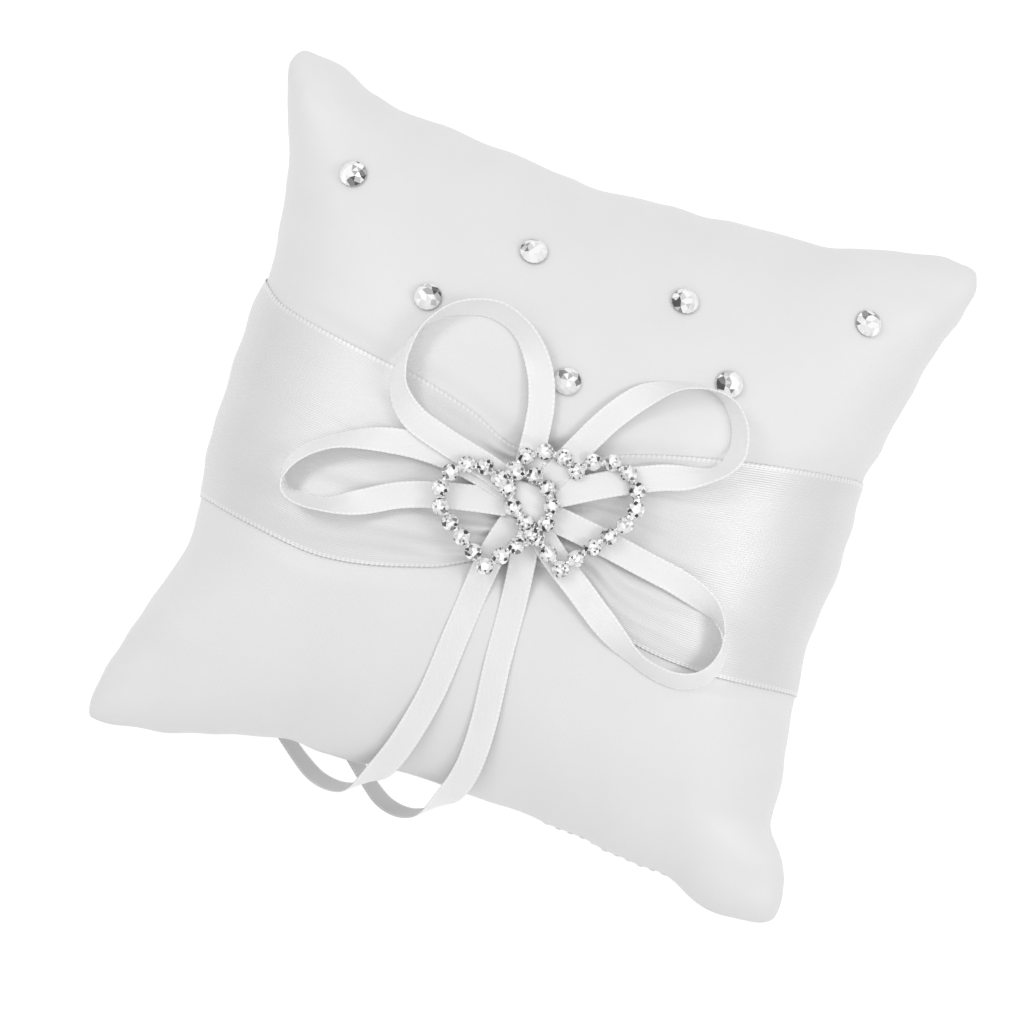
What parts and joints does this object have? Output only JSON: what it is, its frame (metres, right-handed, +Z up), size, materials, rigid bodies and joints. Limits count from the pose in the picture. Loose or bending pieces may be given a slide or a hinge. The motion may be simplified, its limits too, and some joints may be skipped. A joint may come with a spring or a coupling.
{
  "type": "ring bearer pillow",
  "caption": "Square white satin ring bearer pillow with a wide gathered ribbon band, a narrow looped bow with long tails, interlocked rhinestone hearts and flat-back crystals.",
  "frame": {"origin": "middle of the resting surface, under the middle of the cover", "axes": "+Z up out of the decorated front, +X to the right along the wide band, +Y towards the edge away from the ribbon tails"},
  "size_m": [0.1538, 0.1506, 0.0556],
  "materials": {
    "cover_satin": "matt white satin with a soft sheen",
    "band_satin": "bright white satin ribbon with woven edges",
    "bow_satin": "narrow white satin ribbon with woven edges",
    "fibre_fill": "loose white polyester fibre",
    "thread": "white sewing thread",
    "silver_plate": "bright silver plate",
    "rhinestone": "clear foiled rhinestone",
    "flat_crystal": "clear foil-backed crystal",
    "clear_glue": "dried clear glue"
  },
  "bodies": {
    "root": {"front_panel": "cover_satin", "back_panel": "cover_satin", "stuffing": "fibre_fill", "edge_seam_thread": "thread", "closing_stitches": "thread", "wide_band": "band_satin", "band_lap_stitches": "thread", "upper_left_loop": "bow_satin", "left_loop": "bow_satin", "upper_right_loop": "bow_satin", "lower_right_loop": "bow_satin", "left_tail": "bow_satin", "right_tail": "bow_satin", "bow_knot": "bow_satin", "bow_tack_thread": "thread", "large_heart_frame": "silver_plate", "small_heart_frame": "silver_plate", "slider_bar": "silver_plate", "large_heart_stones": "rhinestone", "small_heart_stones": "rhinestone", "crystal_1": "flat_crystal", "crystal_2": "flat_crystal", "crystal_3": "flat_crystal", "crystal_4": "flat_crystal", "crystal_5": "flat_crystal", "crystal_6": "flat_crystal", "crystal_7": "flat_crystal", "glue_dots": "clear_glue"}
  },
  "joints": []
}
